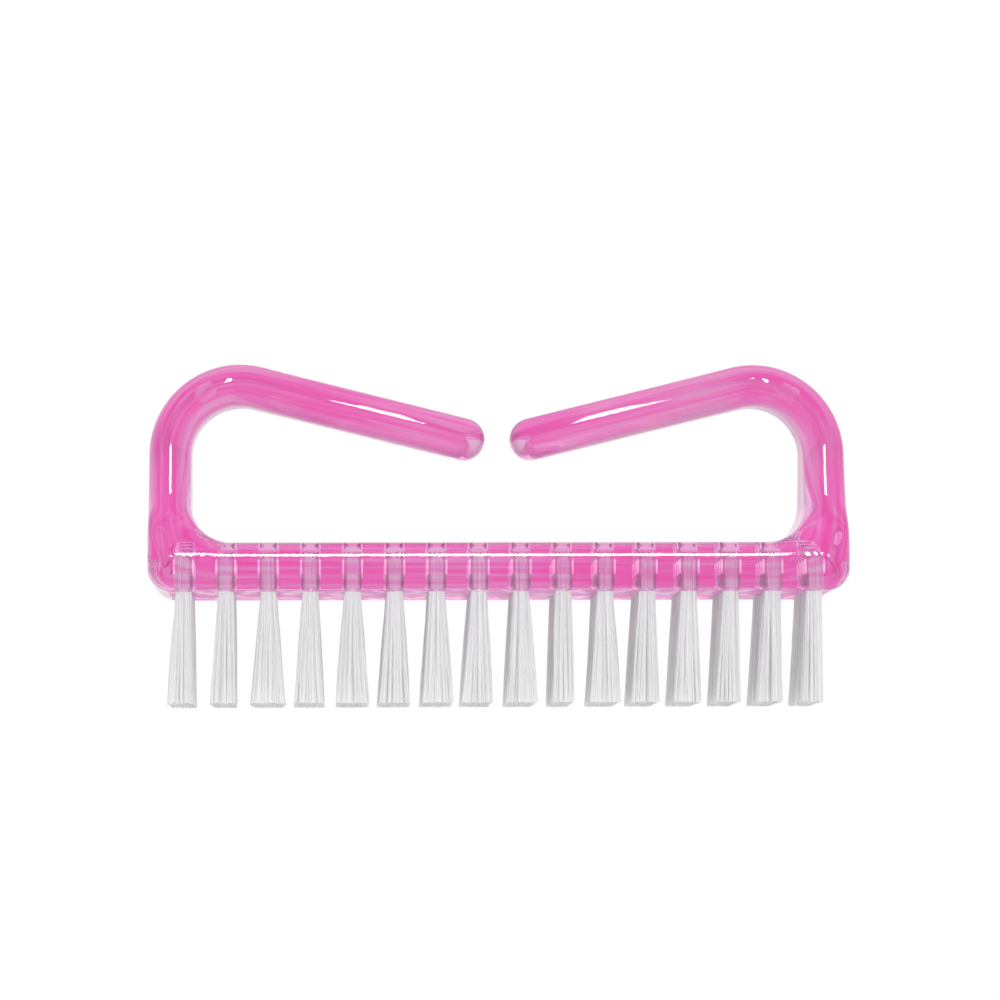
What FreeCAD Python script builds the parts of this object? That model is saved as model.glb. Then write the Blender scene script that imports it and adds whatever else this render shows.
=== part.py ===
import FreeCAD
import Part
import math
import os

from FreeCAD import Vector

# Nail brush: X along the length, Y through the depth with the front at -Y, Z up.
# The bristle tips stand on Z = 0. All lengths in millimetres.

# Base plate
BASE_LENGTH = 66.0
BASE_DEPTH = 14.0
BASE_HEIGHT = 4.6
BASE_CORNER_RADIUS = 2.3
BRISTLE_LENGTH = 10.4

# Uprights and hooks
HOOK_RISE = 17.35
HOOK_THICKNESS = 4.0
HOOK_DEPTH = 5.2
BEND_RADIUS = 8.65
HOOK_SLOPE = 14.0
HOOK_GAP = 2.4
ROOT_RADIUS = 3.8
FLARE_SHOULDER_RADIUS = 3.0
FLARE_DROP = 1.0
FLARE_REACH_SHARE = 0.6

# Rounded edges of the moulding
EDGE_ROUND_SHARE = 0.87
UNDER_EDGE_RADIUS = 0.4

# Round marks left on the front side by the mould
MARK_DIAMETER = 2.1
MARK_DEPTH = 0.15
BASE_MARK_HEIGHT = 2.05
BEND_MARK_ANGLE = 60.0

# Pattern of the holes
TUFT_PITCH = 3.95
ROW_PITCH = 3.0
END_WALL = 2.2
SIDE_WALL = 1.2
HOLE_DIAMETER = 1.7
HOLE_FLOOR = 1.2

# Tufts
TUFT_CLEARANCE = 0.05
TIP_CLEARANCE = 0.1

# Grooves that part the filaments of a tuft into locks
GROOVES = 9
GROOVE_WIDTH = 0.2
GROOVE_TIP_WIDTH = 0.7
GROOVE_START = 0.5

# Anchors: flat wire across each hole
ANCHOR_THICKNESS = 0.3
ANCHOR_HEIGHT = 1.3
ANCHOR_BITE = 0.12
FOLD_THICKNESS = 0.45

# Faces that meet at more than this angle get a rounded edge
SHARP_ANGLE = 30.0

# How far cutting bodies run past the faces they cut
OVERRUN = 2.0

# Levels and places that follow from the sizes above
UNDERSIDE = BRISTLE_LENGTH
BASE_TOP = UNDERSIDE + BASE_HEIGHT
HOOK_TOP = BASE_TOP + HOOK_RISE
END = BASE_LENGTH / 2
SIDE = BASE_DEPTH / 2
BEND_X = END - BEND_RADIUS
BEND_Z = HOOK_TOP - BEND_RADIUS
SLOPE = math.radians(HOOK_SLOPE)
EDGE_RADIUS = EDGE_ROUND_SHARE * HOOK_THICKNESS / 2
HOLE_DEPTH = BASE_HEIGHT - HOLE_FLOOR
TIP_DIAMETER = ROW_PITCH - TIP_CLEARANCE
COLUMNS = int((BASE_LENGTH - 2 * END_WALL - HOLE_DIAMETER) / TUFT_PITCH) + 1
ROWS = int((BASE_DEPTH - 2 * SIDE_WALL - HOLE_DIAMETER) / ROW_PITCH) + 1


def spot(center, radius, angle):
    """Point on a circle in the front plane, at an angle from +X towards +Z."""
    return center + Vector(radius * math.cos(angle), 0, radius * math.sin(angle))


def line(start, stop):
    return Part.LineSegment(start, stop).toShape()


def arc(center, radius, begin, finish):
    middle = spot(center, radius, (begin + finish) / 2)
    return Part.Arc(spot(center, radius, begin), middle, spot(center, radius, finish)).toShape()


def right_outline():
    """Front outline of the right side, from the lower corner round the hook to the base top."""
    quarter = math.pi / 2
    lean = quarter + SLOPE
    corner = Vector(END - BASE_CORNER_RADIUS, 0, UNDERSIDE + BASE_CORNER_RADIUS)
    bend = Vector(BEND_X, 0, BEND_Z)
    inner_radius = BEND_RADIUS - HOOK_THICKNESS
    tip_radius = HOOK_THICKNESS / 2
    axis_start = spot(bend, BEND_RADIUS - tip_radius, lean)
    tip_x = HOOK_GAP / 2 + tip_radius
    run = (axis_start.x - tip_x) / math.cos(SLOPE)
    tip = axis_start + Vector(-run * math.cos(SLOPE), 0, -run * math.sin(SLOPE))
    root = Vector(END - HOOK_THICKNESS - ROOT_RADIUS, 0, BASE_TOP + ROOT_RADIUS)
    return [
        arc(corner, BASE_CORNER_RADIUS, -quarter, 0),
        line(spot(corner, BASE_CORNER_RADIUS, 0), spot(bend, BEND_RADIUS, 0)),
        arc(bend, BEND_RADIUS, 0, lean),
        line(spot(bend, BEND_RADIUS, lean), spot(tip, tip_radius, lean)),
        arc(tip, tip_radius, lean, lean + math.pi),
        line(spot(tip, tip_radius, lean + math.pi), spot(bend, inner_radius, lean)),
        arc(bend, inner_radius, lean, 0),
        line(spot(bend, inner_radius, 0), spot(root, ROOT_RADIUS, 0)),
        arc(root, ROOT_RADIUS, 0, -quarter),
    ]


def mirrored(edges, normal):
    return [edge.mirror(Vector(0, 0, 0), normal) for edge in edges]


def front_prism():
    """The front outline carried through the whole depth."""
    right = right_outline()
    left = mirrored(right, Vector(1, 0, 0))
    under = UNDERSIDE
    corner_x = END - BASE_CORNER_RADIUS
    root_x = END - HOOK_THICKNESS - ROOT_RADIUS
    joins = [
        line(Vector(-corner_x, 0, under), Vector(corner_x, 0, under)),
        line(Vector(root_x, 0, BASE_TOP), Vector(-root_x, 0, BASE_TOP)),
    ]
    wire = Part.Wire(Part.__sortEdges__(joins + right + left))
    reach = SIDE + OVERRUN
    face = Part.Face(wire)
    face.translate(Vector(0, -reach, 0))
    return face.extrude(Vector(0, 2 * reach, 0))


def side_outline():
    """Side outline of the front half: upright at the base, then two arcs in to the hook depth."""
    start_z = BASE_TOP - FLARE_DROP
    end_z = BEND_Z + FLARE_REACH_SHARE * (BEND_RADIUS - HOOK_THICKNESS)
    rise = end_z - start_z
    step = (BASE_DEPTH - HOOK_DEPTH) / 2
    turn = 2 * math.atan(step / rise)
    hollow_radius = rise / math.sin(turn) - FLARE_SHOULDER_RADIUS
    shoulder = Vector(0, FLARE_SHOULDER_RADIUS - SIDE, start_z)
    hollow = Vector(0, -HOOK_DEPTH / 2 - hollow_radius, end_z)

    def at(center, radius, angle):
        return center + Vector(0, radius * math.cos(angle), radius * math.sin(angle))

    foot = Vector(0, -SIDE, UNDERSIDE - OVERRUN)
    start = Vector(0, -SIDE, start_z)
    shoulder_mid = at(shoulder, FLARE_SHOULDER_RADIUS, math.pi - turn / 2)
    meet = at(hollow, hollow_radius, -turn)
    hollow_mid = at(hollow, hollow_radius, -turn / 2)
    narrow = at(hollow, hollow_radius, 0)
    head = Vector(0, -HOOK_DEPTH / 2, HOOK_TOP + OVERRUN)
    return [
        line(foot, start),
        Part.Arc(start, shoulder_mid, meet).toShape(),
        Part.Arc(meet, hollow_mid, narrow).toShape(),
        line(narrow, head),
    ]


def side_prism():
    """The side outline carried along the whole length."""
    front = side_outline()
    back = mirrored(front, Vector(0, 1, 0))
    foot = front[0].firstVertex(True).Point
    head = front[-1].lastVertex(True).Point
    joins = [
        line(foot, Vector(0, -foot.y, foot.z)),
        line(head, Vector(0, -head.y, head.z)),
    ]
    wire = Part.Wire(Part.__sortEdges__(joins + front + back))
    reach = END + OVERRUN
    face = Part.Face(wire)
    face.translate(Vector(-reach, 0, 0))
    return face.extrude(Vector(2 * reach, 0, 0))


def sharp_edges(body):
    """Edges whose two faces meet at a clear angle, so not the seams between tangent faces."""
    found = []
    for edge in body.Edges:
        faces = body.ancestorsOfType(edge, Part.Face)
        middle = edge.valueAt((edge.FirstParameter + edge.LastParameter) / 2)
        normals = [face.normalAt(*face.Surface.parameter(middle)) for face in faces]
        if normals[0].getAngle(normals[-1]) > math.radians(SHARP_ANGLE):
            found.append(edge)
    return found


def edge_rounding(body, edge, heading):
    """Number of the edge and its radius at both ends: small below, full above, changing at the corners."""
    number = [edge.isSame(other) for other in body.Edges].index(True) + 1
    low = [abs(corner.Z - UNDERSIDE) < UNDER_EDGE_RADIUS for corner in edge.Vertexes]
    if all(low):
        return (number, UNDER_EDGE_RADIUS, UNDER_EDGE_RADIUS)
    if not any(low):
        return (number, EDGE_RADIUS, EDGE_RADIUS)
    if edge.CenterOfMass.x * heading > 0:
        return (number, UNDER_EDGE_RADIUS, EDGE_RADIUS)
    return (number, EDGE_RADIUS, UNDER_EDGE_RADIUS)


def rounded(body):
    """The body with its front and back outlines rounded."""
    sheet = FreeCAD.newDocument("rounding")
    plain = sheet.addObject("Part::Feature", "plain")
    plain.Shape = body
    roundings = []
    for side in (-1, 1):
        loop = [edge for edge in sharp_edges(body) if edge.CenterOfMass.y * side > 0]
        loop.sort(key=lambda edge: edge.CenterOfMass.z)
        under = loop[0]
        heading = under.valueAt(under.LastParameter).x - under.valueAt(under.FirstParameter).x
        roundings += [edge_rounding(body, edge, heading) for edge in loop]
    fillet = sheet.addObject("Part::Fillet", "fillet")
    fillet.Base = plain
    fillet.Edges = roundings
    sheet.recompute()
    return fillet.Shape.Solids[0]


def column_x(column):
    return (column - (COLUMNS - 1) / 2) * TUFT_PITCH


def row_y(row):
    return (row - (ROWS - 1) / 2) * ROW_PITCH


def places():
    return [(column_x(column), row_y(row)) for column in range(COLUMNS) for row in range(ROWS)]


def hole(x, y):
    start = Vector(x, y, UNDERSIDE - OVERRUN)
    return Part.makeCylinder(HOLE_DIAMETER / 2, HOLE_DEPTH + OVERRUN, start)


def anchor(x, y):
    """Flat wire across a hole, biting into the wall at both ends."""
    length = HOLE_DIAMETER + 2 * ANCHOR_BITE
    top = UNDERSIDE + HOLE_DEPTH - FOLD_THICKNESS
    corner = Vector(x - length / 2, y - ANCHOR_THICKNESS / 2, top - ANCHOR_HEIGHT)
    return Part.makeBox(length, ANCHOR_THICKNESS, ANCHOR_HEIGHT, corner)


def grooves():
    """Slim cones down the spreading side of a tuft, where its filaments part into locks."""
    mouth = Vector(HOLE_DIAMETER / 2 - TUFT_CLEARANCE, 0, UNDERSIDE)
    tip = Vector(TIP_DIAMETER / 2, 0, 0)
    down = (tip - mouth).normalize()
    start = mouth + down * GROOVE_START
    length = (tip - start).Length + OVERRUN
    first = Part.makeCone(GROOVE_WIDTH / 2, GROOVE_TIP_WIDTH / 2, length, start, down)
    cones = []
    for number in range(GROOVES):
        cone = first.copy()
        cone.rotate(Vector(0, 0, 0), Vector(0, 0, 1), number * 360 / GROOVES)
        cones.append(cone)
    return cones


def tuft(x, y):
    """Bundle of filaments: folded over its anchor in the hole, spreading below the base in locks."""
    neck = HOLE_DIAMETER / 2 - TUFT_CLEARANCE
    top = UNDERSIDE + HOLE_DEPTH - TUFT_CLEARANCE
    fold = FOLD_THICKNESS - TUFT_CLEARANCE
    dome = (neck * neck + fold * fold) / (2 * fold)
    half = math.asin(neck / dome) / 2
    crown = Vector(0, 0, top)
    shoulder = Vector(neck, 0, top - fold)
    between = Vector(dome * math.sin(half), 0, top - dome + dome * math.cos(half))
    mouth = Vector(neck, 0, UNDERSIDE)
    tip = Vector(TIP_DIAMETER / 2, 0, 0)
    center = Vector(0, 0, 0)
    outline = Part.Wire([
        Part.Arc(crown, between, shoulder).toShape(),
        line(shoulder, mouth),
        line(mouth, tip),
        line(tip, center),
        line(center, crown),
    ])
    bundle = Part.Face(outline).revolve(Vector(0, 0, 0), Vector(0, 0, 1), 360)
    bundle = bundle.cut(grooves()).Solids[0]
    bundle.translate(Vector(x, y, 0))
    return bundle.cut(anchor(x, y)).Solids[0]


def mark(x, z, front):
    """Disc that cuts a shallow round mark into the front side."""
    start = Vector(x, front - OVERRUN, z)
    return Part.makeCylinder(MARK_DIAMETER / 2, OVERRUN + MARK_DEPTH, start, Vector(0, 1, 0))


def marks():
    """Two marks on the base between its last two columns of holes, and one on each bend."""
    base_x = (column_x(COLUMNS - 1) + column_x(COLUMNS - 2)) / 2
    bend = spot(Vector(BEND_X, 0, BEND_Z), BEND_RADIUS - HOOK_THICKNESS / 2, math.radians(BEND_MARK_ANGLE))
    discs = []
    for side in (-1, 1):
        discs.append(mark(side * base_x, UNDERSIDE + BASE_MARK_HEIGHT, -SIDE))
        discs.append(mark(side * bend.x, bend.z, -HOOK_DEPTH / 2))
    return discs


def handle():
    """The clear moulding, with its holes and the seats of the anchors."""
    body = rounded(front_prism().common(side_prism()).Solids[0])
    cutters = [hole(x, y) for x, y in places()]
    seats = [anchor(x, y) for x, y in places()]
    return body.cut(cutters + seats + marks()).Solids[0]


def save(name, solids):
    Part.makeCompound(solids).exportStep("parts/" + name + ".step")


def main():
    os.makedirs("parts", exist_ok=True)
    save("handle", [handle()])
    for column in range(COLUMNS):
        x = column_x(column)
        save(f"tuft_column_{column + 1:02d}", [tuft(x, row_y(row)) for row in range(ROWS)])
        save(f"anchor_column_{column + 1:02d}", [anchor(x, row_y(row)) for row in range(ROWS)])


main()
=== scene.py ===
import math

import bmesh
import bpy
import numpy as np
from mathutils import Matrix, Vector


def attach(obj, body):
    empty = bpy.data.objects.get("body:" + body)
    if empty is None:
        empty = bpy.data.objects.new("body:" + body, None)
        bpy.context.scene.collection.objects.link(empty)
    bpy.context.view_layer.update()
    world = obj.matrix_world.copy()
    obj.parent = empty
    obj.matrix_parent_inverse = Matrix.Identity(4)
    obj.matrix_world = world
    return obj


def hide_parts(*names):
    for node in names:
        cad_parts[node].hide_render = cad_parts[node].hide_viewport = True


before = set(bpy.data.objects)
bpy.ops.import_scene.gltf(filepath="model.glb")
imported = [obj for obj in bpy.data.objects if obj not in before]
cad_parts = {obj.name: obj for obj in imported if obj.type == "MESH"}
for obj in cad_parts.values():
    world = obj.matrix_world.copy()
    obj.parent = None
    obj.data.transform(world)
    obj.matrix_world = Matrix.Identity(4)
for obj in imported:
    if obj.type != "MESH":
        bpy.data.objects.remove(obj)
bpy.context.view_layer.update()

# Nail brush. Lengths are in millimetres up to the call that makes a mesh, which turns them into metres.
MM = 0.001
SEED = 41
QUARTER = math.pi / 2

# Base plate
END = 33.0
SIDE = 7.0
UNDERSIDE = 10.4
BASE_TOP = 15.0
CORNER_RADIUS = 2.3

# Uprights and hooks
HOOK_TOP = 32.348
HOOK_THICKNESS = 4.0
BEND_RADIUS = 8.65
SLOPE = math.radians(14.0)
HOOK_GAP = 2.4
ROOT_RADIUS = 3.8

# Rounded edges, and how the rounding joins the front that falls back above the base
EDGE_RADIUS = 1.6
UNDER_EDGE_RADIUS = 0.4
BASE_INSET = 1.6
ROUND_INSET = 1.98
ROUND_STRETCH = 1.06
ROUND_DEPTH_SHARE = 0.8
BLEND_POWER = 4.0
BLEND_RISE = 4.0
HANDLE_SHARP = math.radians(35.0)

# Centres of the right bend, root and corner in the front plane, and lengths along the middle line
BEND = np.array([END - BEND_RADIUS, HOOK_TOP - BEND_RADIUS])
ROOT = np.array([END - HOOK_THICKNESS - ROOT_RADIUS, BASE_TOP + ROOT_RADIUS])
CORNER = np.array([END - CORNER_RADIUS, UNDERSIDE + CORNER_RADIUS])
LEAN = QUARTER + SLOPE
HALF_HOOK = HOOK_THICKNESS / 2
ARM = BEND_RADIUS - HALF_HOOK
BEND_FOOT = BEND[1] - BASE_TOP + EDGE_RADIUS

# Half depth of the uprights and hooks: way from the shoulder, half depth, slope in degrees
SHOULDER_TURN = 27.0
SHOULDER_END = EDGE_RADIUS * math.sin(math.radians(SHOULDER_TURN))
SHOULDER_DEPTH = SIDE - EDGE_RADIUS * (1 - math.cos(math.radians(SHOULDER_TURN)))
DEPTHS = [
    (SHOULDER_END, SHOULDER_DEPTH, SHOULDER_TURN), (5.9, 4.71, 17.2), (10.4, 3.69, 8.2), (14.0, 3.32, 3.6),
    (17.4, 3.15, 2.2), (19.4, 3.10, 0.5), (19.9, 3.06, 9.0), (20.5, 2.97, 7.4), (21.3, 2.88, 5.9),
    (22.4, 2.78, 4.6), (24.0, 2.655, 4.2), (25.3, 2.56, 4.2), (29.4, 2.30, 3.0), (31.5, 2.21, 2.2),
    (33.0, 2.17, 1.0), (36.6, 2.12, 0.5), (37.7, 2.10, 1.4), (39.7, 2.03, 2.6), (41.8, 1.90, 4.2),
    (46.0, 1.49, 7.0),
]

# Steps along the moulding and round its section
BASE_STEPS = 60
CORNER_STEPS = (10, 12, 12)
UPRIGHT_STEPS = 14
BEND_STEPS = 44
HOOK_STEPS = 40
TIP_STEPS = 14
ROUND_STEPS = 10
FACE_STEPS = 8
WALL_STEPS = 6

# Small lengths: the least width that is divided by, and in metres the gap that is closed and the least edge
SHORTEST = 1e-6
MERGE_GAP = 1e-7
LEAST_EDGE = 1e-8

# Holes
COLUMNS = 16
ROWS = 4
TUFT_PITCH = 3.95
ROW_PITCH = 3.0
HOLE_RADIUS = 0.85
HOLE_END = 13.8
HOLE_SIDES = 32

# Round marks left by the mould in the front: two between the outermost columns, one on each bend
MARK_DIAMETER = 2.1
MARK_DEPTH = 0.15
MARK_SIDES = 40
BASE_MARK_HEIGHT = 2.05
BEND_MARK_ANGLE = math.radians(60.0)
MARK_FLOW = (0.3, 1.0)

# Cutters for holes and marks: how far they stand out of the moulding, and the order of their axes
CUT_SPARE = 2.0
UPWARD = [0, 1, 2]
BACKWARD = [0, 2, 1]

# Filaments
STRANDS = 36
STRAND_RADIUS = 0.086
STRAND_SIDES = 7
TIP_EDGE = math.radians(70.0)
NECK_RADIUS = 0.68
LEAST_ROOM = 0.02
ANCHOR_TOP = 13.35
ANCHOR_HALF = 0.15
FOLD_START = 12.9
FOLD_RISE = 0.22
LEG_HEIGHTS = np.array([0, 3.0, 6.5, 9.2, UNDERSIDE, FOLD_START])
TIP_SPREAD = 1.75
TIP_DEPTH = 1.4

# How far filaments stray by chance: in the neck, in their share of the reach, in depth, in sag and per tuft
NECK_STRAY = 0.04
SHARE_STRAY = 0.10
DEPTH_STRAY = 0.12
SAG_STRAY = 0.05
TUFT_STRAY = 0.05

# How far the tips of each column reach to the left and right of its holes
TIP_REACH = [
    (1.43, 0.98), (1.47, 0.95), (1.69, 1.60), (1.54, 1.27), (1.53, 1.52), (1.56, 1.50), (1.48, 1.60),
    (1.50, 1.18), (1.41, 1.45), (1.13, 0.98), (1.43, 1.35), (1.52, 1.07), (1.52, 1.07), (1.55, 0.84),
    (1.52, 0.80), (1.45, 0.72),
]

# Clear pink plastic: its colours by place, among them painted light on the inner rims and painted glints
# underneath, and what its depth takes out of the light
PINK_THIN = (0.84, 0.34, 0.63, 1.0)
PINK_DEEP = (0.90, 0.11, 0.48, 1.0)
PINK_PAINTED_RIM_LIGHT = (0.88, 0.48, 0.72, 1.0)
PINK_HOLE = (0.98, 0.88, 0.96, 1.0)
PINK_UNDER = (0.62, 0.14, 0.46, 1.0)
PINK_PAINTED_GLINT = (0.98, 0.85, 0.95, 1.0)
PINK_PASSED = (1.0, 0.97, 0.99, 1.0)
PINK_DEPTH = (0.95, 0.0, 0.72, 1.0)
PINK_DENSITY = 30.0
PINK_INDEX = 1.5

# Skin of the plastic: roughness where it is smooth, where it is not and underneath, and relief underneath
PINK_POLISH = 0.02
SKIN_ROUGHNESS = 0.03
UNDER_ROUGHNESS = 0.4
UNDER_RELIEF = 6.0

# Flow lines in the plastic: scale across and along, share of the deep pink, painted light that pales the
# colour to both edges against a deeper middle, strength
STREAK_SCALE = (9.0, 0.05, 1.0)
STREAK_MIDDLE = 0.75
PAINTED_EDGE_LIGHT = 3.0
STREAK_STRENGTH = 6.0

# Painted light on the inner rim of the uprights and hooks, a lighter pink as if lit through the rim: shares
# across, from the middle, and heights over which it comes in
RIM_START = 0.22
RIM_FULL = 0.42
RIM_LOW = 16.0
RIM_HIGH = 20.0

# Underside: thickness of its skin, and the noise values between which its mottled colour turns to painted
# glints (painted highlights)
UNDER_SKIN = 0.06
PAINTED_GLINT_START = 0.5
PAINTED_GLINT_FULL = 0.66

# Limits: the flow below which a wall is drilled, the inner turns of a ray, and where the hooks allow one more
HOLE_FLOW = 0.5
TURNS_LEFT = 0.5
HOOK_LOW = 22.0

# White nylon: its shades, the share of light that passes through, and the glow after the last scattering
NYLON_DULL = (0.954, 0.954, 0.958, 1.0)
NYLON_BRIGHT = (0.978, 0.978, 0.978, 1.0)
NYLON_THROUGH = (0.966, 0.966, 0.968, 1.0)
NYLON_PASSING = 0.75
NYLON_INDEX = 1.53
NYLON_ROUGHNESS = 0.35
CLOUD_ROUGHNESS = 0.15
STRAND_SHARE = 0.7
NYLON_GLOW = 0.6
SCATTERINGS = 2.5

# Anchor wire and floor
WIRE_BRIGHT = (0.9, 0.89, 0.87, 1.0)
WIRE_DULL = (0.8, 0.78, 0.75, 1.0)
WIRE_ROUGHNESS = 0.5
LINE_ROUGHNESS = 0.2
FLOOR_LIGHT = (0.9, 0.9, 0.9, 1.0)
FLOOR_DARK = (0.87, 0.87, 0.87, 1.0)
FLOOR_REACH = 1500.0
WHITE = (1.0, 1.0, 1.0, 1.0)
BLACK = (0.0, 0.0, 0.0, 1.0)

# Room: fill for scattered light, and where it turns from grey at the sides to white in front and behind
FILL = 0.87
ROOM_START = 0.45
ROOM_END = 0.95
ROOM_GREY = 0.65
ROOM_WHITE = 0.9

# Camera
CAMERA_PLACE = np.array([-16.71, -366.62, -15.59])
CAMERA_YAW = math.radians(2.65)
CAMERA_PITCH = math.radians(5.46)
CAMERA_ROLL = math.radians(-0.29)
CAMERA_LENS = 139.28
SENSOR_WIDTH = 36.0
NEAREST = 10.0

# Lamp: the point that it faces, its direction from there, its size and its brightness
LAMP_AIM = Vector((0, -5, 14))
LAMP_ELEVATION = math.radians(30.0)
LAMP_SIDE = math.radians(2.8)
LAMP_DISTANCE = 1200.0
LAMP_WIDTH = 258.0
LAMP_HEIGHT = 380.0
LAMP_BRIGHTNESS = 20.0
POWER_FACTOR = 4.0


def mesh_object(name, points, faces):
    """A smooth object at the origin from points in millimetres and a list of face index arrays."""
    mesh = bpy.data.meshes.new(name)
    mesh.from_pydata((points * MM).tolist(), [], [row for group in faces for row in group.tolist()])
    mesh.shade_smooth()
    thing = bpy.data.objects.new(name, mesh)
    bpy.context.scene.collection.objects.link(thing)
    return thing


def grid_faces(rows, ring):
    """Quads of a tube: row i and i + 1 joined all round a ring of points."""
    i, j = np.meshgrid(np.arange(rows - 1), np.arange(ring), indexing="ij")
    k = (j + 1) % ring
    return np.stack([i * ring + j, i * ring + k, (i + 1) * ring + k, (i + 1) * ring + j], -1).reshape(-1, 4)


def pairs(x, z):
    """Points of the front plane from X and Z, either of which may be a single number."""
    return np.stack(np.broadcast_arrays(x, z), -1)


def turn(angle):
    """Unit vectors of the front plane: the cosine in X and the sine in Z."""
    return pairs(np.cos(angle), np.sin(angle))


def span(start, stop, steps):
    """Evenly spaced values of a run, without its first one."""
    return np.linspace(start, stop, steps + 1)[1:]


def between(steps):
    """Shares strictly between nought and one, as a column."""
    return span(0, 1, steps)[:-1, None]


def half_depth(way):
    """Half the depth along the handle, by the way from the foot of the shoulder up to the tip of a hook.

    A round shoulder turns the front back by an angle. After it comes a cubic from each line of DEPTHS to
    the next, with the depth and the slope of both.
    """
    low = np.clip(way / EDGE_RADIUS, 0, math.sin(math.radians(SHOULDER_TURN)))
    shoulder = SIDE - EDGE_RADIUS * (1 - np.sqrt(1 - low ** 2))
    stops, depths, slopes = np.array(DEPTHS).T
    slopes = -np.tan(np.radians(slopes))
    i = np.clip(np.searchsorted(stops, way) - 1, 0, len(stops) - 2)
    gap = stops[i + 1] - stops[i]
    t = np.clip((way - stops[i]) / gap, 0, 1)
    curve = (
        depths[i] * (1 + 2 * t) * (1 - t) ** 2 + depths[i + 1] * t ** 2 * (3 - 2 * t)
        + gap * (slopes[i] * t * (1 - t) ** 2 - slopes[i + 1] * t ** 2 * (1 - t))
    )
    return np.where(way < stops[0], shoulder, curve)


def stretch(outer, inner, outer_way, inner_way, outer_round=ROUND_INSET, inner_round=ROUND_INSET, way=np.nan):
    """A stretch of both edges: matched points, directions into the material, roundings and way along.

    The way along is given only where the depth goes by it, and otherwise the depth goes by the height.
    """
    count = len(outer)
    ways = [np.broadcast_to(part, (count, 2)) for part in (outer_way, inner_way)]
    numbers = [np.broadcast_to(part, count) for part in (outer_round, inner_round, way)]
    return [outer, inner, *ways, *numbers]


def base_and_corner():
    """Right half of the base: straight, then the lower corner outside against the round root inside.

    The root's quarter circle is shared out over three outer runs by their lengths: the rest of the
    underside, the corner's quarter circle and the end above it.
    """
    up, right = np.array([0.0, 1.0]), np.array([1.0, 0.0])
    x = np.linspace(0, ROOT[0], BASE_STEPS + 1)
    base = stretch(pairs(x, UNDERSIDE), pairs(x, BASE_TOP), up, -up, UNDER_EDGE_RADIUS, BASE_INSET)

    lengths = np.array([CORNER[0] - ROOT[0], CORNER_RADIUS * QUARTER, ROOT[1] - CORNER[1]])
    stops = np.append(0, np.cumsum(lengths) / lengths.sum())
    shares = [span(*run) for run in zip(stops[:-1], stops[1:], CORNER_STEPS)]
    ways = [turn(-QUARTER * (1 - share)) for share in shares]
    roots = [ROOT + ROOT_RADIUS * way for way in ways]
    rounds = [BASE_INSET + (ROUND_INSET - BASE_INSET) * share for share in shares]

    x = span(ROOT[0], CORNER[0], CORNER_STEPS[0])
    under = stretch(pairs(x, UNDERSIDE), roots[0], up, ways[0], UNDER_EDGE_RADIUS, rounds[0])
    a = turn(span(-QUARTER, 0, CORNER_STEPS[1]))
    growing = span(UNDER_EDGE_RADIUS, ROUND_INSET, CORNER_STEPS[1])
    corner = stretch(CORNER + CORNER_RADIUS * a, roots[1], -a, ways[1], growing, rounds[1])
    z = span(CORNER[1], ROOT[1], CORNER_STEPS[2])
    end = stretch(pairs(END, z), roots[2], -right, ways[2], ROUND_INSET, rounds[2])
    return [base, under, corner, end]


def upright_and_hook():
    """Right upright, its bend as two arcs about one centre, the straight hook and two quarters of its tip."""
    right = np.array([1.0, 0.0])
    z = span(ROOT[1], BEND[1], UPRIGHT_STEPS)
    upright = stretch(pairs(END, z), pairs(END - HOOK_THICKNESS, z), -right, right)

    swing = span(0, LEAN, BEND_STEPS)
    a = turn(swing)
    way = BEND_FOOT + swing * ARM
    bend = stretch(BEND + BEND_RADIUS * a, BEND + (BEND_RADIUS - HOOK_THICKNESS) * a, -a, a, way=way)

    side = turn(LEAN)
    start = BEND + ARM * side
    run = (start[0] - HOOK_GAP / 2 - HALF_HOOK) / math.cos(SLOPE)
    step = span(0, run, HOOK_STEPS)
    line = start - step[:, None] * turn(SLOPE)
    hook = stretch(line + HALF_HOOK * side, line - HALF_HOOK * side, -side, side, way=way[-1] + step)

    swing = span(0, QUARTER, TIP_STEPS)
    a, b = turn(LEAN + swing), turn(LEAN + math.pi - swing)
    last = way[-1] + run + HALF_HOOK * np.sin(swing)
    tip = stretch(line[-1] + HALF_HOOK * a, line[-1] + HALF_HOOK * b, -a, -b, way=last)
    return [upright, bend, hook, tip]


def whole_contours():
    """Both edges in one run from the left tip to the right one: the right half and its mirror image."""
    parts = [np.concatenate(part) for part in zip(*base_and_corner(), *upright_and_hook())]
    flip = np.array([-1.0, 1.0])
    points = [np.concatenate([part[:0:-1] * flip, part]) for part in parts[:4]]
    numbers = [np.concatenate([part[:0:-1], part])[:, None] for part in parts[4:]]
    return points + numbers


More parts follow.
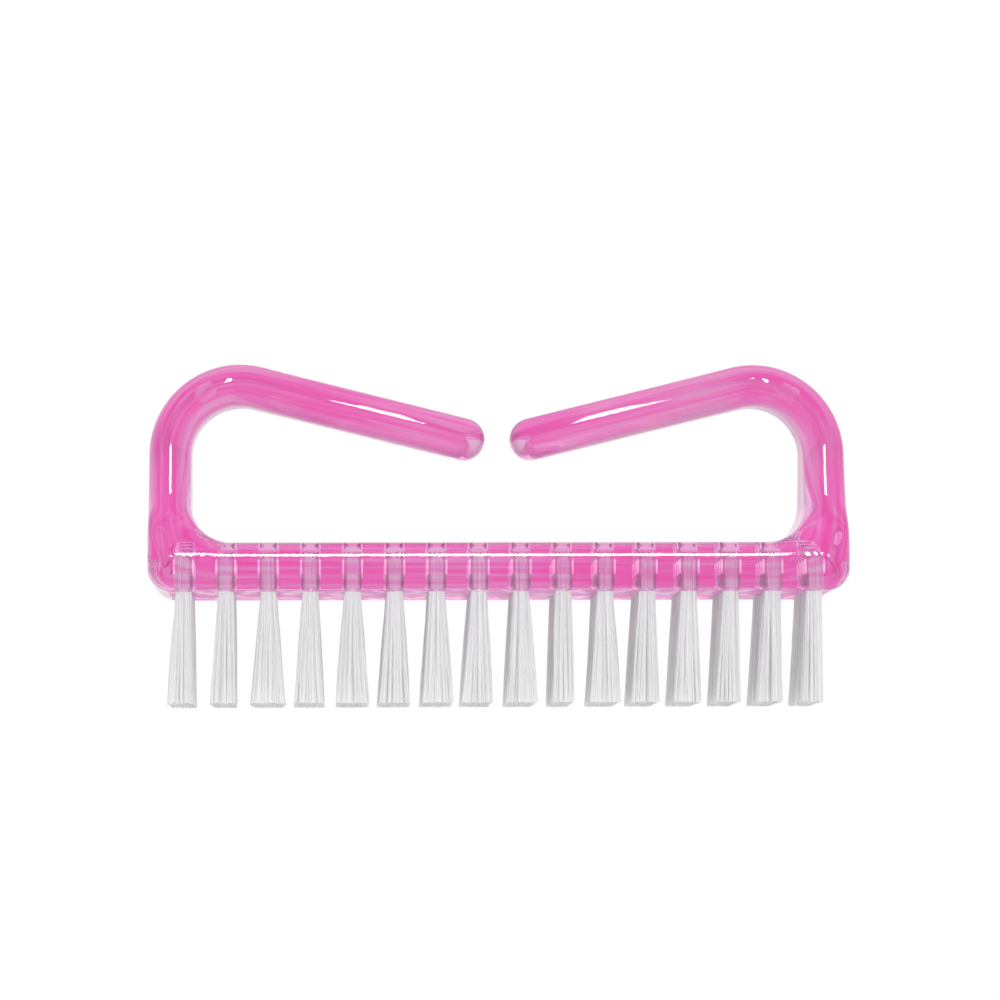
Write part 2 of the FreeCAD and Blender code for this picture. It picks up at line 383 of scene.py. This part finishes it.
def front_face(outer, inner, outer_way, inner_way, outer_round, inner_round, along):
    """Places in the front plane and depths of the front, from the outer edge to the inner one.

    A rounding of radius r at angle q stands r(1 - cos q) inside its edge and r(1 - sin q) below the face.
    The face lies at half_depth. At the base its fall and that of the rounding join as a power mean,
    further up as a sum.
    """
    q = np.linspace(0, QUARTER, ROUND_STEPS + 1)
    inset, drop = 1 - np.cos(q), 1 - np.sin(q)
    outer_place = outer[:, None] + outer_way[:, None] * (outer_round * inset)[..., None]
    inner_place = inner[:, None] + inner_way[:, None] * (inner_round * inset)[..., None]
    share = between(FACE_STEPS)
    face_place = outer_place[:, -1:] * (1 - share) + inner_place[:, -1:] * share
    place = np.concatenate([outer_place, face_place, inner_place[:, ::-1]], 1)

    outer_fall, inner_fall = outer_round * ROUND_STRETCH * drop, inner_round * ROUND_STRETCH * drop
    fall = np.concatenate([outer_fall, np.zeros(face_place.shape[:2]), inner_fall[:, ::-1]], 1)
    height = place[..., 1] - BASE_TOP + EDGE_RADIUS
    half = half_depth(np.where(np.isnan(along), np.maximum(height, 0), along))
    fall = fall * np.minimum(1, ROUND_DEPTH_SHARE * half / (ROUND_INSET * ROUND_STRETCH))
    flare = SIDE - half
    free = np.clip((place[..., 1] - BASE_TOP) / BLEND_RISE, 0, 1)
    free = free * free * (3 - 2 * free)
    joined = (flare ** BLEND_POWER + fall ** BLEND_POWER) ** (1 / BLEND_POWER)
    joined = joined * (1 - free) + (flare + fall) * free
    return place, SIDE - joined


def moulding():
    """The clear moulding as one closed tube: points, faces and the flow of each point.

    At each station a ring runs round the section: over the front, along the inner wall, over the back, which
    mirrors the front, and along the outer wall. The flow of a point is its share of the way across and its
    path along the middle line, counted from one.
    """
    contours = whole_contours()
    outer, inner = contours[:2]
    place, depth = front_face(*contours)
    front = np.stack([place[..., 0], -depth, place[..., 1]], -1)
    back = front[:, ::-1] * np.array([1, -1, 1])
    share = between(WALL_STEPS)
    inner_wall = front[:, -1:] * (1 - share) + back[:, :1] * share
    outer_wall = back[:, -1:] * (1 - share) + front[:, :1] * share
    rings = np.concatenate([front, inner_wall, back, outer_wall], 1)

    reach = np.linalg.norm(inner - outer, axis=1)
    across = np.linalg.norm(place - outer[:, None], axis=2) / np.maximum(reach, SHORTEST)[:, None]
    wall = np.ones(inner_wall.shape[:2])
    across = np.concatenate([across, wall, across[:, ::-1], 0 * wall], 1)
    middle = (outer + inner) / 2
    path = 1 + np.cumsum(np.linalg.norm(np.diff(middle, axis=0, prepend=middle[:1]), axis=1))
    flow = pairs(across, path[:, None])
    return rings.reshape(-1, 3), grid_faces(*rings.shape[:2]), flow.reshape(-1, 2)


def round_cutter(places, radius, low, high, sides, axes):
    """Closed drums on a list of places: two rings of points on each axis, and a flat face at both ends."""
    ring = turn(np.arange(sides) * 2 * math.pi / sides) * radius
    drum = np.concatenate([np.insert(ring, 2, end, axis=1) for end in (low, high)])[:, axes]
    points = (np.asarray(places)[:, None] + drum).reshape(-1, 3)
    starts = (np.arange(len(places)) * 2 * sides)[:, None]
    sidewall = (grid_faces(2, sides)[None] + starts[..., None]).reshape(-1, 4)
    caps = np.concatenate([np.arange(sides)[None, ::-1] + starts, np.arange(sides)[None] + sides + starts])
    return points, [sidewall, caps]


def outward(thing):
    """Closes the seams of a mesh and turns its faces outwards."""
    shape = bmesh.new()
    shape.from_mesh(thing.data)
    bmesh.ops.remove_doubles(shape, verts=shape.verts, dist=MERGE_GAP)
    bmesh.ops.dissolve_degenerate(shape, edges=shape.edges, dist=LEAST_EDGE)
    bmesh.ops.recalc_face_normals(shape, faces=shape.faces)
    shape.to_mesh(thing.data)
    shape.free()


def cut_away(thing, cutter):
    """Takes the cutter's room out of a thing and removes the cutter."""
    outward(cutter)
    knife = thing.modifiers.new("cut", "BOOLEAN")
    knife.operation = "DIFFERENCE"
    knife.solver = "EXACT"
    knife.object = cutter
    graph = bpy.context.evaluated_depsgraph_get()
    done = bpy.data.meshes.new_from_object(thing.evaluated_get(graph))
    thing.modifiers.remove(knife)
    thing.data = done
    bpy.data.objects.remove(cutter)


def add_flow(thing, flow):
    """The UV map that the flow lines follow, from one pair for each face corner."""
    layer = thing.data.uv_layers.new(name="flow")
    layer.uv.foreach_set("vector", flow.astype(np.float32).ravel())


def hole_places():
    """Foot points of the hole axes on a grid of columns and rows about the middle."""
    column, row = np.meshgrid(np.arange(COLUMNS), np.arange(ROWS), indexing="ij")
    x = (column - (COLUMNS - 1) / 2) * TUFT_PITCH
    y = (row - (ROWS - 1) / 2) * ROW_PITCH
    return np.stack([x, y, x * 0], -1)


def mark_places():
    """Centres of the marks in the front: between the outermost columns and on each bend's middle line."""
    base_x = (COLUMNS / 2 - 1) * TUFT_PITCH
    bend_x, bend_z = BEND + ARM * turn(BEND_MARK_ANGLE)
    front = half_depth(np.array([BEND_FOOT + ARM * BEND_MARK_ANGLE]))[0]
    spots = [(side * base_x, -SIDE, UNDERSIDE + BASE_MARK_HEIGHT) for side in (-1, 1)]
    return spots + [(side * bend_x, -front, bend_z) for side in (-1, 1)]


def make_handle():
    """The moulding with its holes and marks cut in. Only the walls of the holes have no flow."""
    points, faces, flow = moulding()
    handle = mesh_object("clear_handle", points, [faces])
    corners = np.empty(len(handle.data.loops), dtype=np.int32)
    handle.data.loops.foreach_get("vertex_index", corners)
    add_flow(handle, flow[corners])
    outward(handle)
    foot = hole_places().reshape(-1, 3)
    drums = round_cutter(foot, HOLE_RADIUS, UNDERSIDE - CUT_SPARE, HOLE_END, HOLE_SIDES, UPWARD)
    cut_away(handle, mesh_object("holes", *drums))
    drums = round_cutter(mark_places(), MARK_DIAMETER / 2, -CUT_SPARE, MARK_DEPTH, MARK_SIDES, BACKWARD)
    marks = mesh_object("marks", *drums)
    add_flow(marks, np.tile(MARK_FLOW, len(marks.data.loops)))
    cut_away(handle, marks)
    handle.data.shade_smooth()
    handle.data.set_sharp_from_angle(angle=HANDLE_SHARP)
    return handle


def tube_rings(paths, radius, sides):
    """Rings of points round many paths at once: at each path point two directions square to the path."""
    ahead = np.gradient(paths, axis=1)
    ahead /= np.linalg.norm(ahead, axis=-1, keepdims=True)
    first = np.broadcast_to(np.array([1.0, 0, 0]), ahead.shape)
    first = first - ahead * (first * ahead).sum(-1, keepdims=True)
    first = first / np.linalg.norm(first, axis=-1, keepdims=True)
    second = np.cross(ahead, first)
    a = (np.arange(sides) * 2 * math.pi / sides)[:, None]
    return paths[:, :, None] + radius * (first[:, :, None] * np.cos(a) + second[:, :, None] * np.sin(a))


def strand_paths(left, right, draw):
    """Paths of one tuft's filaments, each from tip to tip over the anchor.

    In the hole the two legs stand on either side of the anchor, spread over two half discs. Below the base a
    leg leans out evenly, its place in the neck stretched to the reach of the tips, and sags by half a sine.
    On the anchor the legs are joined by a half ellipse.
    """
    x = (np.arange(STRANDS) + 0.5) / STRANDS * 2 - 1
    x = draw.permutation(x) * NECK_RADIUS
    room = np.sqrt(NECK_RADIUS ** 2 - x ** 2)
    low = ANCHOR_HALF + STRAND_RADIUS
    y = low + (np.maximum(room, low + LEAST_ROOM) - low) * draw.random((2, STRANDS))
    out = np.clip((UNDERSIDE - LEG_HEIGHTS) / UNDERSIDE, 0, 1)[None]
    legs = []
    for leg, side in enumerate((1, -1)):
        neck_x = np.clip(x + draw.normal(0, NECK_STRAY, STRANDS), -NECK_RADIUS, NECK_RADIUS)
        neck_y = y[leg] * side
        share = np.clip(neck_x / NECK_RADIUS + draw.normal(0, SHARE_STRAY, STRANDS), -1, 1)
        tip_x = share * (np.where(share < 0, left, right) - STRAND_RADIUS)
        tip_y = np.clip(neck_y * TIP_SPREAD + draw.normal(0, DEPTH_STRAY, STRANDS), -TIP_DEPTH, TIP_DEPTH)
        sag = draw.normal(0, SAG_STRAY, (2, STRANDS, 1)) * np.sin(math.pi * out)
        leg_x = neck_x[:, None] * (1 - out) + tip_x[:, None] * out + sag[0]
        leg_y = neck_y[:, None] * (1 - out) + tip_y[:, None] * out + sag[1]
        legs.append(np.stack(np.broadcast_arrays(leg_x, leg_y, LEG_HEIGHTS), -1))
    top = ANCHOR_TOP + STRAND_RADIUS + FOLD_RISE * y.mean(0) / NECK_RADIUS
    a = np.array([0.25, 0.5, 0.75]) * math.pi
    mid_x = (legs[0][:, -1, 0] + legs[1][:, -1, 0])[:, None] / 2
    mid_y = np.where(np.cos(a) >= 0, y[0][:, None], y[1][:, None]) * np.cos(a)
    mid_z = FOLD_START + (top - FOLD_START)[:, None] * np.sin(a)
    fold = np.stack(np.broadcast_arrays(mid_x, mid_y, mid_z), -1)
    return np.concatenate([legs[0], fold, legs[1][:, ::-1]], 1)


def make_tufts(column, draw):
    """The four tufts of one column as one piece of loose filaments, cut off flat in one plane."""
    left, right = TIP_REACH[column]
    paths = []
    for place in hole_places()[column]:
        wide = 1 + draw.normal(0, TUFT_STRAY)
        paths.append(strand_paths(left * wide, right * wide, draw) + place)
    rings = tube_rings(np.concatenate(paths), STRAND_RADIUS, STRAND_SIDES)
    rings[:, [0, -1], :, 2] = 0
    count, stations = rings.shape[:2]
    starts = (np.arange(count) * stations * STRAND_SIDES)[:, None]
    walls = (grid_faces(stations, STRAND_SIDES)[None] + starts[..., None]).reshape(-1, 4)
    ring = np.arange(STRAND_SIDES)[None]
    ends = np.concatenate([ring[:, ::-1] + starts, ring + starts + (stations - 1) * STRAND_SIDES])
    tufts = mesh_object(f"bristles_{column + 1:02d}", rings.reshape(-1, 3), [walls, ends])
    tufts.data.set_sharp_from_angle(angle=TIP_EDGE)
    shade = np.repeat(draw.random(count), stations * STRAND_SIDES)
    tufts.data.attributes.new("strand", "FLOAT", "POINT").data.foreach_set("value", shade.astype(np.float32))
    return tufts


class Wire:
    """A shader socket that takes part in arithmetic: each operator adds one Math node."""

    def __init__(self, finish, socket):
        self.finish = finish
        self.socket = socket

    def maths(self, operation, first, second):
        return self.finish.node("ShaderNodeMath", {"operation": operation}, {0: first, 1: second})

    def __add__(self, other):
        return self.maths("ADD", self, other)

    def __sub__(self, other):
        return self.maths("SUBTRACT", self, other)

    def __rsub__(self, other):
        return self.maths("SUBTRACT", other, self)

    def __mul__(self, other):
        return self.maths("MULTIPLY", self, other)

    def __gt__(self, other):
        return self.maths("GREATER_THAN", self, other)

    def __lt__(self, other):
        return self.maths("LESS_THAN", self, other)

    def over(self, other):
        return self.maths("MAXIMUM", self, other)

    __radd__ = __add__
    __rmul__ = __mul__


class Finish:
    """A material's or world's node tree, filled by one method that the others call."""

    def __init__(self, owner):
        owner.use_nodes = True
        self.owner = owner
        self.tree = owner.node_tree
        self.tree.nodes.clear()

    def node(self, kind, settings=None, sockets=None, output=0):
        """A node of a kind: its settings first, then the values or links of its sockets."""
        made = self.tree.nodes.new(kind)
        for name, value in (settings or {}).items():
            setattr(made, name, value)
        for name, value in (sockets or {}).items():
            if isinstance(value, Wire):
                self.tree.links.new(value.socket, made.inputs[name])
            else:
                made.inputs[name].default_value = value
        return Wire(self, made.outputs[output]) if made.outputs else made

    def mix(self, share, first, second):
        """A colour between two colours."""
        return self.node("ShaderNodeMix", {"data_type": "RGBA"}, {0: share, 6: first, 7: second}, 2)

    def mix_shader(self, share, first, second):
        """A surface between two surfaces."""
        return self.node("ShaderNodeMixShader", None, {0: share, 1: first, 2: second})

    def place(self):
        """Object coordinates."""
        return self.node("ShaderNodeTexCoord", output="Object")

    def part(self, vector, axis):
        """One number of a vector."""
        return self.node("ShaderNodeSeparateXYZ", None, {0: vector}, axis)

    def rise(self, value, start, full):
        """A value's rise from nought at its start to one where it is full."""
        return self.node("ShaderNodeMapRange", None, {0: value, 1: start, 2: full, 3: 0.0, 4: 1.0})

    def noise(self, scale, detail, stretch=(1.0, 1.0, 1.0), place=None):
        """Soft noise on Object coordinates or another place, scaled along each axis."""
        place = self.node("ShaderNodeMapping", None, {"Vector": place or self.place(), "Scale": stretch})
        return self.node("ShaderNodeTexNoise", None, {"Vector": place, "Scale": scale, "Detail": detail})

    def bump(self, height, strength, distance):
        """A normal that follows a height, with the distance in metres."""
        sockets = {"Strength": strength, "Distance": distance, "Height": height}
        return self.node("ShaderNodeBump", None, sockets)

    def ray(self, kind):
        """What the renderer knows of the light's path so far."""
        return self.node("ShaderNodeLightPath", None, None, kind)


def pink_tint(finish, height, speck, under):
    """Colour of the plastic: flow streaks with painted light paling them to both edges, painted light on the
    inner rims, pale hole walls, and an underside mottled with painted glints.
    """
    flow = finish.node("ShaderNodeUVMap", {"uv_map": "flow"})
    across = finish.part(flow, 0) - 0.5
    streak = finish.noise(scale=1.0, detail=3.0, stretch=STREAK_SCALE, place=flow)
    # Real flow streaks, plus painted light: the colour pales to both edges and stays deeper in the middle
    deep = STREAK_MIDDLE - PAINTED_EDGE_LIGHT * (across * across) + STREAK_STRENGTH * (streak - 0.5)
    tint = finish.mix(deep, PINK_THIN, PINK_DEEP)
    # Painted light: the inner rims of the uprights and hooks are made a lighter pink, as if lit through the
    # rim
    rim = finish.rise(across, RIM_START, RIM_FULL) * finish.rise(height, RIM_LOW * MM, RIM_HIGH * MM)
    tint = finish.mix(rim, tint, PINK_PAINTED_RIM_LIGHT)
    tint = finish.mix(finish.part(flow, 1) < HOLE_FLOW, tint, PINK_HOLE)
    # Underside colour with painted glints: lighter spots in the colour that stand in for highlights
    under_with_painted_glints = finish.mix(finish.rise(speck, PAINTED_GLINT_START, PAINTED_GLINT_FULL), PINK_UNDER, PINK_PAINTED_GLINT)
    return finish.mix(under, tint, under_with_painted_glints)


def clear_pink():
    """Clear pink moulding: it absorbs green through its depth, with flow lines and a moulded skin.

    Light on its way to or from a matt piece goes straight through. So does light that was turned back inside
    once, or twice in the hooks, because the renderer would soon cut it off.
    """
    finish = Finish(bpy.data.materials.new("clear_pink_plastic"))
    wave = finish.noise(scale=160.0, detail=3.0, stretch=(1.0, 0.6, 1.0))
    skin = finish.noise(scale=900.0, detail=2.0)
    speck = finish.noise(scale=700.0, detail=3.0, stretch=(1.0, 0.4, 1.0))
    height = finish.part(finish.place(), 2)
    under = finish.rise(height, (UNDERSIDE + UNDER_SKIN) * MM, UNDERSIDE * MM)
    surface = finish.node("ShaderNodeBsdfPrincipled", None, {
        "Base Color": pink_tint(finish, height, speck, under),
        "Roughness": PINK_POLISH + SKIN_ROUGHNESS * skin + UNDER_ROUGHNESS * under,
        "IOR": PINK_INDEX,
        "Transmission Weight": 1.0,
        "Normal": finish.bump(wave + UNDER_RELIEF * (speck * under), strength=0.04, distance=0.0004),
    })
    passed = finish.node("ShaderNodeBsdfTransparent", None, {"Color": PINK_PASSED})
    spent = finish.ray("Glossy Depth") > TURNS_LEFT + (height > HOOK_LOW * MM)
    straight = finish.ray("Is Shadow Ray").over(finish.ray("Is Diffuse Ray")).over(spent)
    both = finish.mix_shader(straight, surface, passed)
    inside = finish.node("ShaderNodeVolumeAbsorption", None, {"Color": PINK_DEPTH, "Density": PINK_DENSITY})
    finish.node("ShaderNodeOutputMaterial", None, {"Surface": both, "Volume": inside})
    return finish.owner


def nylon():
    """White nylon: each filament has its own shade, slightly clouded along its length.

    Light that was scattered three times goes on as a glow, because the renderer would soon cut it off.
    """
    finish = Finish(bpy.data.materials.new("nylon_bristle"))
    strand = finish.node("ShaderNodeAttribute", {"attribute_name": "strand"}, None, "Fac")
    cloud = finish.noise(scale=500.0, detail=2.0, stretch=(1.0, 1.0, 0.3))
    tint = finish.mix(STRAND_SHARE * strand + (1 - STRAND_SHARE) * cloud, NYLON_DULL, NYLON_BRIGHT)
    surface = finish.node("ShaderNodeBsdfPrincipled", None, {
        "Base Color": tint,
        "Roughness": NYLON_ROUGHNESS + CLOUD_ROUGHNESS * cloud,
        "IOR": NYLON_INDEX,
        "Emission Color": finish.mix(finish.ray("Diffuse Depth") > SCATTERINGS, BLACK, tint),
        "Emission Strength": NYLON_GLOW,
    })
    through = finish.node("ShaderNodeBsdfTranslucent", None, {"Color": NYLON_THROUGH})
    both = finish.mix_shader(NYLON_PASSING, surface, through)
    finish.node("ShaderNodeOutputMaterial", None, {"Surface": both})
    return finish.owner


def anchor_metal():
    """Drawn flat wire: fine lines along its length and faint tarnish."""
    finish = Finish(bpy.data.materials.new("anchor_wire"))
    lines = finish.noise(scale=3000.0, detail=3.0, stretch=(0.05, 1.0, 1.0))
    tarnish = finish.noise(scale=700.0, detail=2.0)
    surface = finish.node("ShaderNodeBsdfPrincipled", None, {
        "Base Color": finish.mix(tarnish, WIRE_BRIGHT, WIRE_DULL),
        "Roughness": WIRE_ROUGHNESS + LINE_ROUGHNESS * lines,
        "Metallic": 0.3,
        "Normal": finish.bump(lines, strength=0.2, distance=0.00005),
    })
    finish.node("ShaderNodeOutputMaterial", None, {"Surface": surface})
    return finish.owner


def floor_paint():
    """Pale floor that shows only from above. Scattered light and light on its way to a piece pass it."""
    finish = Finish(bpy.data.materials.new("floor_paint"))
    grain = finish.noise(scale=3.0, detail=3.0)
    paint = finish.node("ShaderNodeBsdfPrincipled", None, {
        "Base Color": finish.mix(grain, FLOOR_LIGHT, FLOOR_DARK),
        "Roughness": 0.8,
        "Specular IOR Level": 0.1,
    })
    clear = finish.node("ShaderNodeBsdfTransparent")
    below = finish.node("ShaderNodeNewGeometry", None, None, "Backfacing")
    unseen = below.over(finish.ray("Is Diffuse Ray")).over(finish.ray("Is Shadow Ray"))
    finish.node("ShaderNodeOutputMaterial", None, {"Surface": finish.mix_shader(unseen, paint, clear)})
    return finish.owner


def toward(side, elevation):
    """Unit vector to a place in front of the brush, by its angle to the right and its height angle."""
    return Vector((
        math.sin(side) * math.cos(elevation),
        -math.cos(side) * math.cos(elevation),
        math.sin(elevation),
    ))


def make_camera():
    """Camera at the photograph's viewing angle: ahead by yaw and pitch, then rolled about its axis."""
    ahead = -toward(-CAMERA_YAW, -CAMERA_PITCH)
    right = ahead.cross(Vector((0, 0, 1))).normalized()
    up = right.cross(ahead)
    right, up = (
        right * math.cos(CAMERA_ROLL) + up * math.sin(CAMERA_ROLL),
        up * math.cos(CAMERA_ROLL) - right * math.sin(CAMERA_ROLL),
    )
    lens = bpy.data.cameras.new("camera")
    lens.lens = CAMERA_LENS
    lens.sensor_width = SENSOR_WIDTH
    lens.clip_start = NEAREST * MM
    camera = bpy.data.objects.new("camera", lens)
    turned = Matrix((right, up, -ahead)).transposed().to_4x4()
    camera.matrix_world = Matrix.Translation(Vector(CAMERA_PLACE * MM)) @ turned
    bpy.context.scene.collection.objects.link(camera)
    bpy.context.scene.camera = camera


def make_world():
    """White surroundings: full white to the camera, white in front and behind, greyer to the other sides."""
    world = bpy.data.worlds.new("studio")
    finish = Finish(world)
    along = finish.part(finish.node("ShaderNodeTexCoord", output="Generated"), 1)
    room = finish.node("ShaderNodeMapRange", {"interpolation_type": "SMOOTHSTEP"}, {
        0: along * along, 1: ROOM_START, 2: ROOM_END, 3: ROOM_GREY, 4: ROOM_WHITE,
    })
    strength = finish.ray("Is Camera Ray").over(finish.ray("Is Diffuse Ray") * FILL).over(room)
    white = finish.node("ShaderNodeBackground", None, {"Color": WHITE, "Strength": strength})
    finish.node("ShaderNodeOutputWorld", None, {"Surface": white})
    bpy.context.scene.world = world


def make_lamp():
    """Soft lamp: a rectangle of even brightness, facing the brush, with power in proportion to its area."""
    lamp = bpy.data.lights.new("front_box", "AREA")
    lamp.shape = "RECTANGLE"
    lamp.size = LAMP_WIDTH * MM
    lamp.size_y = LAMP_HEIGHT * MM
    lamp.energy = POWER_FACTOR * lamp.size * lamp.size_y * LAMP_BRIGHTNESS
    thing = bpy.data.objects.new("front_box", lamp)
    way = toward(LAMP_SIDE, LAMP_ELEVATION)
    thing.location = (LAMP_AIM + way * LAMP_DISTANCE) * MM
    thing.rotation_euler = way.to_track_quat("Z", "Y").to_euler()
    bpy.context.scene.collection.objects.link(thing)


def make_stage():
    """Camera, room, lamp and a square floor under the tips."""
    make_camera()
    make_world()
    make_lamp()
    corners = np.array([[-1, -1, 0], [1, -1, 0], [1, 1, 0], [-1, 1, 0]]) * FLOOR_REACH
    floor = mesh_object("floor", corners, [np.array([[0, 1, 2, 3]])])
    floor.data.materials.append(floor_paint())


def dress():
    """Shows the handle and the tufts as finer pieces, and gives the anchors their metal."""
    draw = np.random.default_rng(SEED)
    handle = make_handle()
    handle.data.materials.append(clear_pink())
    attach(handle, "root")
    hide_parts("handle")
    white = nylon()
    for column in range(COLUMNS):
        tufts = make_tufts(column, draw)
        tufts.data.materials.append(white)
        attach(tufts, "root")
        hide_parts(f"tuft_column_{column + 1:02d}")
    metal = anchor_metal()
    for column in range(COLUMNS):
        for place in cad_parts[f"anchor_column_{column + 1:02d}"].material_slots:
            place.material = metal


bpy.context.scene.view_settings.view_transform = "Standard"
dress()
make_stage()
